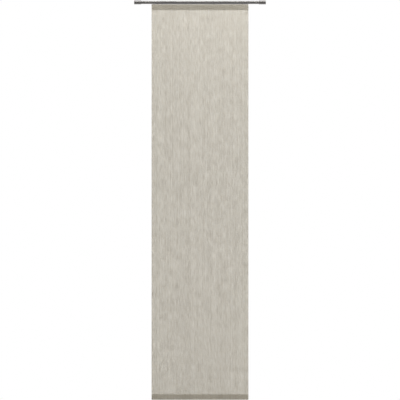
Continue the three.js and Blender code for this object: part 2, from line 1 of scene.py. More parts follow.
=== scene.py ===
"""A sliding panel curtain: a slub cloth panel on an aluminium carrier that rolls in a slotted metal rod.

Every size in a class is in millimetres, and MM turns it to the metres of the scene. Angles are in degrees.
Places come from the CAD frame.
"""

import logging
import math
from collections.abc import Iterable, Sequence
from dataclasses import dataclass, field
from enum import Enum

import bmesh
import bpy
from mathutils import Matrix, Vector, noise


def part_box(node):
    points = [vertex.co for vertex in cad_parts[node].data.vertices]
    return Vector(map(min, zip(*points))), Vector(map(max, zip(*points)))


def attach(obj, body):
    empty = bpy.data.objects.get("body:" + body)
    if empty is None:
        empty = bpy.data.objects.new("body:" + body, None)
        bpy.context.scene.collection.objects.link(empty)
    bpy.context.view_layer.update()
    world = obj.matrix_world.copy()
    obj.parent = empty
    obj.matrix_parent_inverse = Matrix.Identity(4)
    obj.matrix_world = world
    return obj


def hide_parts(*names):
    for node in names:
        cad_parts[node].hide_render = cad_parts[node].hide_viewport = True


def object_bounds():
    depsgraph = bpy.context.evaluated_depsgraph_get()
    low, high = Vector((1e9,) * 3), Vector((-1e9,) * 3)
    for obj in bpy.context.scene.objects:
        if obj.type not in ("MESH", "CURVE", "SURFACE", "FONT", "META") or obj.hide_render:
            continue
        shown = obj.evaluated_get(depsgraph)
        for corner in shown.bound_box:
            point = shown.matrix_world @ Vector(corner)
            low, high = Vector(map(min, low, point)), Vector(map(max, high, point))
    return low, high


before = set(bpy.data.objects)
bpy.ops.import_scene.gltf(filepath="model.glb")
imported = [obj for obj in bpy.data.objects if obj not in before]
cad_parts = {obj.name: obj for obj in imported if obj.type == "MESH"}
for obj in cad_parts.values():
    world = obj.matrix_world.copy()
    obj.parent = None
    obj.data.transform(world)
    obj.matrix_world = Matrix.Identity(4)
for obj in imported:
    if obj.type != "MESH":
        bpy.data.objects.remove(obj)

CAD_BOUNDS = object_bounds()
MM = 0.001
LOG = logging.getLogger("panel_curtain")

# How near two vertices are to count as one, and how near to a plane to lie in it, in metres.
WELD_DISTANCE = 2e-6
PLANE_DISTANCE = 1e-7
# Faces that meet at less than this angle lie in one plane.
FLAT_ANGLE = 0.5
# An edge is rounded where its faces meet at more than this angle, with this number of faces across it.
ROUNDED_ANGLE = 40.0
ROUNDED_SEGMENTS = 2
# The middle of a noise, where most of its values lie, as a Map Range node takes it.
NOISE_MIDDLE = {"From Min": 0.3, "From Max": 0.7}

Tree = bpy.types.NodeTree
Socket = bpy.types.NodeSocket
Material = bpy.types.Material
Shape = bmesh.types.BMesh
Piece = bpy.types.Object
Span = tuple[float, float]


class Grain(Enum):
    """Which way the fine lines of a worked metal run."""

    ALONG_ROD = "along"
    AROUND_ROD = "around"


def linear(colour: str) -> tuple[float, float, float, float]:
    """Turns an sRGB hex colour to the linear values that a shader takes, by the curve of the sRGB standard.

    Args:
        colour: A colour such as "#C6C1B3".

    Returns:
        Linear red, green and blue, and an alpha of 1.
    """
    channels = [int(colour[i : i + 2], 16) / 255 for i in (1, 3, 5)]
    curved = [c / 12.92 if c <= 0.04045 else ((c + 0.055) / 1.055) ** 2.4 for c in channels]
    return curved[0], curved[1], curved[2], 1.0


def add_node(tree: Tree, kind: str, inputs: dict | None = None, **settings: object) -> bpy.types.Node:
    """Adds a shader node, sets it up and links what it reads.

    Args:
        tree: The node tree of a material or world.
        kind: The node's type name.
        inputs: For each input, by name or number, a plain value or the output socket that feeds it.
        settings: The node's own properties.

    Returns:
        The new node.
    """
    node = tree.nodes.new(kind)
    for name, value in settings.items():
        setattr(node, name, value)
    for name, value in (inputs or {}).items():
        if isinstance(value, bpy.types.NodeSocket):
            tree.links.new(value, node.inputs[name])
        else:
            node.inputs[name].default_value = value
    return node


class Finish:
    """What all finishes share: a name, two colours, and how a pattern gives the surface its look."""

    name: str
    dark: str
    light: str
    # The least and the most roughness, where a pattern spreads it.
    roughness: Span
    # How far the relief stands out, and how much of it shows.
    relief: Span

    def material(self) -> Material:
        """Makes the material and gives it the finish's shader.

        Returns:
            The finished material.
        """
        material = bpy.data.materials.new(self.name)
        material.use_nodes = True
        tree = material.node_tree
        tree.nodes.clear()
        add_node(tree, "ShaderNodeOutputMaterial", {"Surface": self.shader(tree)})
        return material

    def shader(self, tree: Tree) -> Socket:
        """Builds the shader that the surface shows, which each finish does in its own way."""
        raise NotImplementedError

    def pattern(self, tree: Tree, grain: tuple[float, float, float], **inputs: float) -> Socket:
        """Adds a noise whose grain has a real size.

        Args:
            tree: The material's node tree.
            grain: The grain's size along X, Y and Z.
            inputs: Values for the noise's own sockets.

        Returns:
            The noise's value.
        """
        place = add_node(tree, "ShaderNodeTexCoord").outputs["Object"]
        grains_per_metre = tuple(1 / (size * MM) for size in grain)
        scaled = add_node(tree, "ShaderNodeMapping", {"Vector": place, "Scale": grains_per_metre})
        sockets = {key.capitalize(): value for key, value in inputs.items()}
        sockets |= {"Vector": scaled.outputs["Vector"], "Scale": 1.0}
        return add_node(tree, "ShaderNodeTexNoise", sockets).outputs["Fac"]

    def surface(
        self,
        tree: Tree,
        even: dict[str, float],
        tint: Socket,
        gloss: Socket | None = None,
        height: Socket | None = None,
    ) -> Socket:
        """Adds a solid surface whose colour, gloss and relief each follow a noise.

        Args:
            tree: The material's node tree.
            even: What is the same all over, by the name of the shader's input.
            tint: The noise that mixes the two colours.
            gloss: The noise that the roughness follows, if it does.
            height: The noise that stands out as relief, if one does.

        Returns:
            The shader of the surface.
        """
        inputs = dict(even)
        share = add_node(tree, "ShaderNodeMapRange", NOISE_MIDDLE | {"Value": tint}).outputs["Result"]
        mixed = {0: share, 6: linear(self.dark), 7: linear(self.light)}
        inputs["Base Color"] = add_node(tree, "ShaderNodeMix", mixed, data_type="RGBA").outputs[2]
        if gloss is not None:
            least, most = self.roughness
            spread = NOISE_MIDDLE | {"Value": gloss, "To Min": least, "To Max": most}
            inputs["Roughness"] = add_node(tree, "ShaderNodeMapRange", spread).outputs["Result"]
        if height is not None:
            depth, strength = self.relief
            raised = {"Height": height, "Distance": depth * MM, "Strength": strength}
            inputs["Normal"] = add_node(tree, "ShaderNodeBump", raised).outputs["Normal"]
        return add_node(tree, "ShaderNodeBsdfPrincipled", inputs).outputs["BSDF"]


@dataclass(frozen=True)
class BrushedAnodisedAluminium(Finish):
    """Aluminium brushed with a fine belt and anodised in a dark stainless steel shade.

    Its long fine scratches spread the highlight across them, so that it shines in soft bands.
    """

    name: str
    grain: Grain
    dark: str = "#656361"
    light: str = "#72706E"
    # Coarser than real scratches, as they have to be to show close up.
    brush_pitch: float = 0.3
    brush_length: float = 40.0
    roughness: Span = (0.26, 0.34)
    relief: Span = (0.02, 0.18)

    def shader(self, tree: Tree) -> Socket:
        """Builds the shader: scratches that run the way of the grain, in colour, gloss and relief.

        Args:
            tree: The material's node tree.

        Returns:
            The shader that the surface shows.
        """
        size = (self.brush_length, self.brush_pitch, self.brush_pitch)
        if self.grain is Grain.AROUND_ROD:
            size = (self.brush_pitch, self.brush_length, self.brush_length)
        brush = self.pattern(tree, size, detail=3.0, roughness=0.6)
        return self.surface(tree, {"Metallic": 1.0}, tint=brush, gloss=brush, height=brush)


@dataclass(frozen=True)
class SatinAnodisedAluminium(Finish):
    """Extruded aluminium, etched matt and anodised clear: an even grey with faint lines from the die."""

    name: str = "satin_anodised_aluminium"
    dark: str = "#A8A49D"
    light: str = "#B4B1AB"
    die_line: float = 0.6
    die_line_length: float = 900.0
    # Coarser than real etching, as it has to be to show close up.
    etch_grain: float = 0.25
    roughness: Span = (0.4, 0.52)
    relief: Span = (0.02, 0.2)

    def shader(self, tree: Tree) -> Socket:
        """Builds the shader: die lines along X over the fine frost of the etching bath.

        Args:
            tree: The material's node tree.

        Returns:
            The shader that the surface shows.
        """
        lines = self.pattern(tree, (self.die_line_length, self.die_line, self.die_line), detail=2.0)
        frost = self.pattern(tree, (self.etch_grain,) * 3, detail=2.0)
        return self.surface(tree, {"Metallic": 1.0}, tint=lines, gloss=frost, height=lines)


@dataclass(frozen=True)
class ZincPlatedSteel(Finish):
    """Machined steel with bright zinc plating, slightly bluish and cloudy from the plating bath."""

    name: str
    dark: str = "#8B8E92"
    light: str = "#A3A6A9"
    cloud: float = 1.6
    roughness: Span = (0.26, 0.4)

    def shader(self, tree: Tree) -> Socket:
        """Builds the shader: soft clouds in colour and gloss."""
        clouds = self.pattern(tree, (self.cloud,) * 3, detail=3.0)
        return self.surface(tree, {"Metallic": 1.0}, tint=clouds, gloss=clouds)


@dataclass(frozen=True)
class MouldedPlastic(Finish):
    """Injection-moulded plastic, a little uneven where the melt flowed, with a spark-eroded mould's grain."""

    name: str
    dark: str
    light: str
    roughness: Span
    relief: Span = (0.03, 0.3)
    flow: float = 9.0
    # Coarser than a real mould's grain, as it has to be to show close up.
    grain: float = 0.35
    ior: float = 1.5

    def shader(self, tree: Tree) -> Socket:
        """Builds the shader: broad flow marks in the colour, and a fine grain in gloss and relief.

        Args:
            tree: The material's node tree.

        Returns:
            The shader that the surface shows.
        """
        flow = self.pattern(tree, (self.flow,) * 3, detail=1.0)
        grain = self.pattern(tree, (self.grain,) * 3, detail=2.0)
        return self.surface(tree, {"IOR": self.ior}, tint=flow, gloss=grain, height=grain)


@dataclass(frozen=True)
class WovenTape(Finish):
    """Polyamide or polyester yarn: its pile or twist stands up from the ground and scatters the light."""

    name: str
    dark: str
    light: str
    pile: float
    relief: Span = (0.35, 0.7)
    even_roughness: float = 0.9
    sheen: float = 0.25
    sheen_roughness: float = 0.5

    def shader(self, tree: Tree) -> Socket:
        """Builds the shader: a speckle as coarse as the pile, with a soft sheen.

        Args:
            tree: The material's node tree.

        Returns:
            The shader that the surface shows.
        """
        pile = self.pattern(tree, (self.pile,) * 3, detail=3.0, roughness=0.7)
        even = {
            "Roughness": self.even_roughness,
            "Sheen Weight": self.sheen,
            "Sheen Roughness": self.sheen_roughness,
        }
        return self.surface(tree, even, tint=pile, height=pile)


@dataclass(frozen=True)
class Streaks:
    """Streaks of one size in the cloth: how wide and how long they are, and how strong, as a share of 1."""

    width: float
    length: float
    share: float


@dataclass(frozen=True)
class SlubVoile(Finish):
    """Polyester voile woven with slub yarns.

    Thick and thin yarns run down the panel, so it shows as fine vertical streaks. The weave is open: some
    light comes straight through between the yarns, and some glows in them.
    """

    name: str = "slub_voile"
    dark: str = "#A7A092"
    light: str = "#D6D1C4"
    glow: str = "#F4F0E6"
    # Short slubs, single yarns from top to bottom, and cloudy patches. Real yarns are a fraction of a
    # millimetre thick, too fine to show in the render, so the first two are as coarse as they need to show.
    streaks: tuple[Streaks, ...] = (
        Streaks(4.0, 46.0, 0.5),
        Streaks(3.3, 2400.0, 0.25),
        Streaks(55.0, 80.0, 0.1),
    )
    # How light a plain yarn is between the two colours, and how much of that a thick one loses.
    plain_yarn: float = 0.38
    thick_yarn_loss: float = 0.1
    # The spacing of the yarns and of the picks across them, coarser than in voile to show close up.
    yarn_pitch: float = 1.1
    pick_pitch: float = 1.3
    relief: Span = (0.12, 0.25)
    even_roughness: float = 0.88
    specular: float = 0.25
    sheen: float = 0.12
    sheen_roughness: float = 0.5
    # The share of the yarns' light that comes through them, and the share of gaps for thick and thin yarns.
    glow_share: float = 0.15
    closed_share: float = 0.28
    open_share: float = 0.46
    # How much more open the cloth is between two yarns than on one.
    mesh_contrast: float = 0.25

    def yarn(self, tree: Tree) -> Socket:
        """Adds the streaks of the yarns.

        Args:
            tree: The material's node tree.

        Returns:
            How light and thin the yarns are, from about 0 to 1.
        """
        slub = add_node(tree, "ShaderNodeAttribute", attribute_name="slub").outputs["Fac"]
        inputs = {0: slub, 1: -self.thick_yarn_loss, 2: self.plain_yarn}
        yarn = add_node(tree, "ShaderNodeMath", inputs, operation="MULTIPLY_ADD").outputs[0]
        for streaks in self.streaks:
            size = (streaks.width, streaks.width, streaks.length)
            streak = self.pattern(tree, size, detail=3.0, roughness=0.7)
            spread = NOISE_MIDDLE | {"Value": streak, "To Min": -streaks.share, "To Max": streaks.share}
            part = add_node(tree, "ShaderNodeMapRange", spread).outputs["Result"]
            yarn = add_node(tree, "ShaderNodeMath", {0: yarn, 1: part}, operation="ADD").outputs[0]
        return yarn

    def weave(self, tree: Tree) -> Socket:
        """Adds the height of a plain weave: yarns along Z and picks along X that cross over and under.

        Args:
            tree: The material's node tree.

        Returns:
            The height, from -1 to 1.
        """
        place = add_node(tree, "ShaderNodeTexCoord").outputs["Object"]
        axes = add_node(tree, "ShaderNodeSeparateXYZ", {0: place}).outputs
        waves = []
        for axis, pitch in (("X", self.yarn_pitch), ("Z", self.pick_pitch)):
            inputs = {0: axes[axis], 1: math.pi / (pitch * MM)}
            turns = add_node(tree, "ShaderNodeMath", inputs, operation="MULTIPLY").outputs[0]
            waves.append(add_node(tree, "ShaderNodeMath", {0: turns}, operation="SINE").outputs[0])
        crossed = {0: waves[0], 1: waves[1]}
        return add_node(tree, "ShaderNodeMath", crossed, operation="MULTIPLY").outputs[0]

    def openness(self, tree: Tree, yarn: Socket, weave: Socket) -> Socket:
        """Works out how much of the view comes through: more at thin yarns and between two of them.

        Args:
            tree: The material's node tree.
            yarn: How light and thin the yarns are.
            weave: The height of the weave.

        Returns:
            The open share.
        """
        inputs = {"Value": yarn, "To Min": self.closed_share, "To Max": self.open_share}
        mean_share = add_node(tree, "ShaderNodeMapRange", inputs).outputs["Result"]
        cover = add_node(tree, "ShaderNodeMath", {0: weave}, operation="ABSOLUTE").outputs[0]
        mean_cover = (2 / math.pi) ** 2
        inputs = {0: cover, 1: -self.mesh_contrast, 2: self.mesh_contrast * mean_cover}
        between = add_node(tree, "ShaderNodeMath", inputs, operation="MULTIPLY_ADD").outputs[0]
        return add_node(tree, "ShaderNodeMath", {0: mean_share, 1: between}, operation="ADD").outputs[0]

    def shader(self, tree: Tree) -> Socket:
        """Builds the shader: yarns that reflect and glow, and gaps between them that let the view through.

        Args:
            tree: The material's node tree.

        Returns:
            The shader that the surface shows.
        """
        yarn = self.yarn(tree)
        weave = self.weave(tree)
        mixed = {0: yarn, 6: linear(self.dark), 7: linear(self.light)}
        depth, strength = self.relief
        raised = {"Height": weave, "Distance": depth * MM, "Strength": strength}
        inputs = {
            "Base Color": add_node(tree, "ShaderNodeMix", mixed, data_type="RGBA").outputs[2],
            "Roughness": self.even_roughness,
            "Specular IOR Level": self.specular,
            "Sheen Weight": self.sheen,
            "Sheen Roughness": self.sheen_roughness,
            "Normal": add_node(tree, "ShaderNodeBump", raised).outputs["Normal"],
        }
        body = add_node(tree, "ShaderNodeBsdfPrincipled", inputs).outputs["BSDF"]
        glow = add_node(tree, "ShaderNodeBsdfTranslucent", {"Color": linear(self.glow)}).outputs["BSDF"]
        yarns = add_node(tree, "ShaderNodeMixShader", {0: self.glow_share, 1: body, 2: glow}).outputs[0]
        gaps = add_node(tree, "ShaderNodeBsdfTransparent").outputs["BSDF"]
        inputs = {0: self.openness(tree, yarn, weave), 1: yarns, 2: gaps}
        return add_node(tree, "ShaderNodeMixShader", inputs).outputs["Shader"]


@dataclass(frozen=True)
class PaleFloor(Finish):
    """A floor painted with a roller, matt and nearly white, that only shows from above."""

    name: str = "pale_floor"
    dark: str = "#E6E5E2"
    light: str = "#EAE9E6"
    roller: float = 120.0
    even_roughness: float = 0.85
    white_share: float = 0.72

    def shader(self, tree: Tree) -> Socket:
        """Builds the shader: an even paint with the faint unevenness of a roller.

        The camera sees it mixed with white, which keeps it pale out to the horizon and its shadow soft.
        Metal and glass see it white, and from beneath it can't be seen.

        Args:
            tree: The material's node tree.

        Returns:
            The shader that the surface shows.
        """
        roller = self.pattern(tree, (self.roller,) * 3, detail=2.0)
        paint = self.surface(tree, {"Roughness": self.even_roughness}, tint=roller)
        inputs = {"Color": (1, 1, 1, 1), "Strength": 1.0}
        white = add_node(tree, "ShaderNodeEmission", inputs).outputs["Emission"]
        path = add_node(tree, "ShaderNodeLightPath").outputs
        inputs = {0: path["Is Glossy Ray"], 1: path["Is Transmission Ray"]}
        indirect = add_node(tree, "ShaderNodeMath", inputs, operation="MAXIMUM").outputs[0]
        inputs = {0: path["Is Camera Ray"], 1: self.white_share, 2: indirect}
        share = add_node(tree, "ShaderNodeMath", inputs, operation="MULTIPLY_ADD").outputs[0]
        above = add_node(tree, "ShaderNodeMixShader", {0: share, 1: paint, 2: white}).outputs[0]
        below = add_node(tree, "ShaderNodeBsdfTransparent").outputs["BSDF"]
        side = add_node(tree, "ShaderNodeNewGeometry").outputs["Backfacing"]
        return add_node(tree, "ShaderNodeMixShader", {0: side, 1: above, 2: below}).outputs["Shader"]


def make_object(name: str, shape: Shape) -> Piece:
    """Turns a bmesh to an object of the scene.

    Args:
        name: The object's name.
        shape: Its mesh, which is freed.

    Returns:
        The object.
    """
    mesh = bpy.data.meshes.new(name)
    shape.to_mesh(mesh)
    shape.free()
    made = bpy.data.objects.new(name, mesh)
    bpy.context.collection.objects.link(made)
    return made


def make_piece(
    name: str,
    shape: Shape,
    material: Material,
    body: str,
    nodes: Iterable[str] = (),
    sharp: float = 35.0,
) -> Piece:
    """Turns a bmesh to a piece of the curtain, shades it and hangs it on its body.

    Args:
        name: The piece's name.
        shape: Its mesh, which is freed.
        material: Its finish.
        body: The body that it rides on.
        nodes: The CAD nodes that it stands for.
        sharp: The angle from which an edge is drawn sharp.

    Returns:
        The piece.
    """
    piece = make_object(name, shape)
    piece.data.shade_smooth()
    piece.data.set_sharp_from_angle(angle=math.radians(sharp))
    piece.data.materials.append(material)
    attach(piece, body)
    if nodes:
        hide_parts(*nodes)
    LOG.info("%s: %d faces on %s", name, len(piece.data.polygons), body)
    return piece


def soften(shape: Shape, radius: float) -> None:
    """Rounds the sharp edges of a shape in place.

    Args:
        shape: The shape.
        radius: How far each edge is cut back.
    """
    least = math.radians(ROUNDED_ANGLE)
    edges = [edge for edge in shape.edges if edge.is_manifold and edge.calc_face_angle() > least]
    bmesh.ops.bevel(
        shape,
        geom=edges,
        offset=radius * MM,
        affect="EDGES",
        segments=ROUNDED_SEGMENTS,
        profile=0.5,
        material=-1,
        clamp_overlap=True,
    )


def eased(node: str, radius: float) -> Shape:
    """Copies a solid of the frame and rounds its edges, as a tool or a mould leaves them.

    Args:
        node: The CAD node.
        radius: How far each edge is cut back.

    Returns:
        The rounded copy.
    """
    shape = bmesh.new()
    shape.from_mesh(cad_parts[node].data)
    bmesh.ops.remove_doubles(shape, verts=shape.verts, dist=WELD_DISTANCE)
    flat = math.radians(FLAT_ANGLE)
    bmesh.ops.dissolve_limit(shape, angle_limit=flat, verts=shape.verts, edges=shape.edges)
    soften(shape, radius)
    return shape


def circle_edges(shape: Shape, radius: float, place: Matrix, segments: int) -> list[bmesh.types.BMEdge]:
    """Adds a circle and returns its edges.

    Args:
        shape: The bmesh to add to.
        radius: The circle's radius, in metres.
        place: Where it lies.
        segments: Its number of edges.

    Returns:
        The circle's edges.
    """
    made = bmesh.ops.create_circle(shape, cap_ends=False, radius=radius, segments=segments, matrix=place)
    return list({edge for vert in made["verts"] for edge in vert.link_edges})


def turned(profile: Sequence[Span], centre: Vector, axis: Vector, steps: int) -> Shape:
    """Spins a profile round an axis, as a lathe does.

    Args:
        profile: Distances along the axis and from it, in metres, from one end to the other.
        centre: A point on the axis where the first distance is 0.
        axis: The axis, along X or Y.
        steps: The number of faces round the piece.

    Returns:
        The turned solid.
    """
    shape = bmesh.new()
    out = Vector((0, 0, 1))
    verts = [shape.verts.new(centre + axis * along + out * radius) for along, radius in profile]
    edges = [shape.edges.new(pair) for pair in zip(verts, verts[1:])]
    bmesh.ops.spin(
        shape,
        geom=verts + edges,
        cent=centre,
        axis=axis,
        angle=math.tau,
        steps=steps,
        use_merge=True,
    )
    bmesh.ops.remove_doubles(shape, verts=shape.verts, dist=WELD_DISTANCE)
    bmesh.ops.recalc_face_normals(shape, faces=shape.faces)
    return shape


def cut_away(piece: Piece, cutter: Shape) -> None:
    """Takes a cutter's shape out of a piece, with a modifier that is applied at once.

    Args:
        piece: The piece that is cut.
        cutter: The cutter's shape, which is freed.
    """
    tool = make_object("cutter", cutter)
    modifier = piece.modifiers.new("cut", "BOOLEAN")
    modifier.operation = "DIFFERENCE"
    modifier.solver = "EXACT"
    modifier.object = tool
    bpy.context.view_layer.update()
    evaluated = piece.evaluated_get(bpy.context.evaluated_depsgraph_get())
    result = bpy.data.meshes.new_from_object(evaluated)
    piece.modifiers.clear()
    piece.data = result
    bpy.data.objects.remove(tool)


def rod_axis() -> float:
    """Gives the height of the rod's axis, which is the finials' middle, in metres."""
    low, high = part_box("finial_left")
    return (low.z + high.z) / 2


def smooth_step(share: float) -> float:
    """Turns a share from 0 to 1 to one that starts and ends slowly."""
    return share * share * (3 - 2 * share)


@dataclass
class SlottedRod:
    """The round rod with its finials, end stops and screws, all fixed to the wall."""

    wall: float = 1.6
    slot_width: float = 6.0
    lip_depth: float = 4.0
    groove_width: float = 4.0
    groove_floor_height: float = 9.3
    groove_setback: float = 4.0
    rod_facets: int = 120
    rod_edge: float = 0.2
    finial_facets: int = 96
    finial_head: float = 8.0
    finial_wall: float = 1.6
    finial_chamfer: float = 0.8
    # The domed head: distances from the outer end, each with a share of the finial's radius.
    dome: tuple[Span, ...] = ((0.0, 0.0), (0.0, 0.62), (0.5, 0.8), (1.6, 1.0))
    grooves: int = 3
    groove_pitch: float = 10.75
    finial_groove_width: float = 2.4
    finial_groove_depth: float = 0.8
    finial_groove_steps: int = 6
    finial_sharp: float = 50.0
    screw_hole_radius: float = 2.1
    screw_hole_facets: int = 32
    drill_length: float = 4.8
    screw_edge: float = 0.12
    stop_edge: float = 0.3
    rod_metal: Finish = BrushedAnodisedAluminium("brushed_rod", Grain.ALONG_ROD)
    finial_metal: Finish = BrushedAnodisedAluminium("turned_finial", Grain.AROUND_ROD)
    screw_steel: Finish = ZincPlatedSteel("zinc_plated_screw")
    stop_nylon: Finish = MouldedPlastic("moulded_stop", "#DEDBD2", "#E8E6DE", (0.4, 0.52))

    def section(self) -> Shape:
        """Makes the rod's section at its left end: a ring with a slot and flat ledges.

        Returns:
            A flat section that faces along X.
        """
        low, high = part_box("rod")
        radius = (high.y - low.y) / 2
        axis_z = rod_axis()
        shape = bmesh.new()
        place = Matrix.Translation((low.x, 0, axis_z)) @ Matrix.Rotation(math.pi / 2, 4, "Y")
        outer = circle_edges(shape, radius, place, self.rod_facets)
        inner = circle_edges(shape, radius - self.wall * MM, place, self.rod_facets)
        bmesh.ops.bridge_loops(shape, edges=outer + inner)
        half_slot = self.slot_width / 2 * MM
        ledge_z = axis_z - math.sqrt(radius**2 - half_slot**2) + self.lip_depth * MM
        mid_wall = radius - self.wall * MM / 2
        for vert in shape.verts:
            on_bore = math.hypot(vert.co.y, vert.co.z - axis_z) < mid_wall
            if on_bore and vert.co.z < ledge_z:
                vert.co.z = ledge_z
        for y in (-half_slot, half_slot):
            bmesh.ops.bisect_plane(
                shape,
                geom=shape.verts[:] + shape.edges[:] + shape.faces[:],
                dist=PLANE_DISTANCE,
                plane_co=(0, y, 0),
                plane_no=(0, 1, 0),
            )
        middles = [(face, face.calc_center_median()) for face in shape.faces]
        gone = [face for face, middle in middles if abs(middle.y) < half_slot and middle.z < axis_z]
        bmesh.ops.delete(shape, geom=gone, context="FACES")
        bmesh.ops.remove_doubles(shape, verts=shape.verts, dist=WELD_DISTANCE)
        return shape

    def rod(self) -> Piece:
        """Draws the section out along X to the rod, and mills the bracket groove between the finials.

        Returns:
            The rod.
        """
        low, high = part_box("rod")
        shape = self.section()
        drawn = bmesh.ops.extrude_face_region(shape, geom=shape.faces[:])
        verts = [item for item in drawn["geom"] if isinstance(item, bmesh.types.BMVert)]
        bmesh.ops.translate(shape, verts=verts, vec=Vector((high.x - low.x, 0, 0)))
        bmesh.ops.recalc_face_normals(shape, faces=shape.faces)
        soften(shape, self.rod_edge)
        rod = make_piece("rod_extrusion", shape, self.rod_metal.material(), "rail", ["rod"])
        groove_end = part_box("finial_right")[0].x - self.groove_setback * MM
        size = Matrix.Diagonal((2 * groove_end, self.groove_width * MM, high.y - low.y, 1))
        floor_z = rod_axis() + self.groove_floor_height * MM
        place = Matrix.Translation((0, 0, floor_z + (high.y - low.y) / 2))
        cutter = bmesh.new()
        bmesh.ops.create_cube(cutter, size=1, matrix=place @ size)
        cut_away(rod, cutter)
        return rod

    def finial_profile(self, length: float, radius: float) -> list[Span]:
        """Works out a finial's profile from its domed end, over its grooves, to the floor of its socket.

        Args:
            length: The finial's length, in metres.
            radius: Its outer radius, in metres.

        Returns:
            Distances along the axis and from it, in metres.
        """
        head = self.finial_head * MM
        socket = radius - self.finial_wall * MM
        half = self.finial_groove_width / 2 * MM
        depth = self.finial_groove_depth * MM
        chamfer = self.finial_chamfer * MM
        profile = [(along * MM, radius * share) for along, share in self.dome]
        for index in range(self.grooves):
            centre = self.groove_pitch * MM * (index + 1)
            for step in range(self.finial_groove_steps + 1):
                angle = math.pi * step / self.finial_groove_steps
                profile.append((centre - half * math.cos(angle), radius - depth * math.sin(angle)))
        profile += [(length - chamfer, radius), (length, radius - chamfer), (length, socket)]
        profile += [(head, socket), (head, 0.0)]
        return profile

    def finial(self, side: str, material: Material) -> Piece:
        """Turns one finial on the lathe and drills the hole for its grub screw.

        Args:
            side: "left" or "right".
            material: The finial's finish.

        Returns:
            The finial.
        """
        node = f"finial_{side}"
        low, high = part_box(node)
        inward, outer_x = (1, low.x) if side == "left" else (-1, high.x)
        profile = self.finial_profile(high.x - low.x, (high.y - low.y) / 2)
        centre = Vector((outer_x, (low.y + high.y) / 2, (low.z + high.z) / 2))
        shape = turned(profile, centre, Vector((inward, 0, 0)), self.finial_facets)
        piece = make_piece(f"turned_{node}", shape, material, "rail", [node], self.finial_sharp)
        screw_low, screw_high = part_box(f"finial_screw_{side}")
        place = Matrix.Translation((screw_low + screw_high) / 2) @ Matrix.Rotation(math.pi / 2, 4, "X")
        drill = bmesh.new()
        bmesh.ops.create_cone(
            drill,
            cap_ends=True,
            segments=self.screw_hole_facets,
            radius1=self.screw_hole_radius * MM,
            radius2=self.screw_hole_radius * MM,
            depth=self.drill_length * MM,
            matrix=place,
        )
        cut_away(piece, drill)
        return piece

    def build(self) -> None:
        """Makes every piece that is fixed to the wall."""
        self.rod()
        metal = self.finial_metal.material()
        steel = self.screw_steel.material()
        nylon = self.stop_nylon.material()
        for side in ("left", "right"):
            self.finial(side, metal)
            for node in (f"finial_screw_{side}", f"stop_screw_{side}"):
                make_piece(f"grub_{node}", eased(node, self.screw_edge), steel, "rail", [node])
            node = f"end_stop_{side}"
            make_piece(f"moulded_{node}", eased(node, self.stop_edge), nylon, "rail", [node])


@dataclass
class Runners:
    """The runners: a moulded body each, with a pin and two dished wheels that turn with the slide."""

    count: int = 4
    body_edge: float = 0.3
    body_sharp: float = 30.0
    wheel_facets: int = 64
    dish: float = 0.35
    bore_radius: float = 1.05
    # The raised rim and hub of a wheel, each with the place where its slope meets the dish.
    rim: float = 0.8
    rim_foot: float = 1.04
    hub_radius: float = 2.0
    hub_foot_radius: float = 2.2
    pin_facets: int = 32
    pin_sharp: float = 50.0
    # The domed end of a pin: its rise as a share of the radius, and the steps of its curve.
    dome_share: float = 0.35
    dome_steps: int = 4
    nylon: Finish = MouldedPlastic("moulded_runner", "#E2DFD6", "#ECEAE3", (0.36, 0.48))
    pin_steel: Finish = ZincPlatedSteel("zinc_plated_pin")

    def wheel(self, number: int, side: str, outward: int, material: Material) -> Piece:
        """Turns one wheel, with a raised rim and hub on its outer face.

        Args:
            number: The runner's number.
            side: "front" or "back".
            outward: 1 where its dished face points along +Y, and -1 where it points along -Y.
            material: The wheel's finish.

        Returns:
            The wheel.
        """
        node = f"wheel_{number}_{side}"
        low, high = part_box(node)
        width = high.y - low.y
        radius = (high.z - low.z) / 2
        inner_y = low.y if outward > 0 else high.y
        centre = Vector(((low.x + high.x) / 2, inner_y, (low.z + high.z) / 2))
        chamfer = self.dish / 2 * MM
        floor = width - self.dish * MM
        profile = [
            (0.0, self.bore_radius * MM),
            (0.0, radius - chamfer),
            (chamfer, radius),
            (width - chamfer, radius),
            (width, radius - chamfer),
            (width, radius - self.rim * MM),
            (floor, radius - self.rim_foot * MM),
            (floor, self.hub_foot_radius * MM),
            (width, self.hub_radius * MM),
            (width, self.bore_radius * MM),
            (0.0, self.bore_radius * MM),
        ]
        shape = turned(profile, centre, Vector((0, outward, 0)), self.wheel_facets)
        body = f"wheelset_{number}"
        return make_piece(f"moulded_{node}", shape, material, body, [node], self.body_sharp)

    def pin(self, number: int, material: Material) -> Piece:
        """Turns one axle pin with domed ends.

        Args:
            number: The runner's number.
            material: The pin's finish.

        Returns:
            The pin.
        """
        node = f"axle_{number}"
        low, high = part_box(node)
        radius = (high.z - low.z) / 2
        length = high.y - low.y
        centre = Vector(((low.x + high.x) / 2, low.y, (low.z + high.z) / 2))
        angles = [math.pi / 2 * step / self.dome_steps for step in range(self.dome_steps + 1)]
        rise = [(radius * self.dome_share * (1 - math.cos(a)), radius * math.sin(a)) for a in angles]
        profile = rise + [(length - along, out) for along, out in reversed(rise)]
        shape = turned(profile, centre, Vector((0, 1, 0)), self.pin_facets)
        name, body = f"axle_pin_{number}", f"wheelset_{number}"
        return make_piece(name, shape, material, body, [node], self.pin_sharp)

    def build(self) -> None:
        """Makes the runners and hangs each wheel and pin on its own wheelset."""
        nylon = self.nylon.material()
        steel = self.pin_steel.material()
        for number in range(1, self.count + 1):
            node = f"runner_{number}"
            shape = eased(node, self.body_edge)
            make_piece(f"moulded_{node}", shape, nylon, "panel", [node], self.body_sharp)
            self.pin(number, steel)
            self.wheel(number, "front", -1, nylon)
            self.wheel(number, "back", 1, nylon)


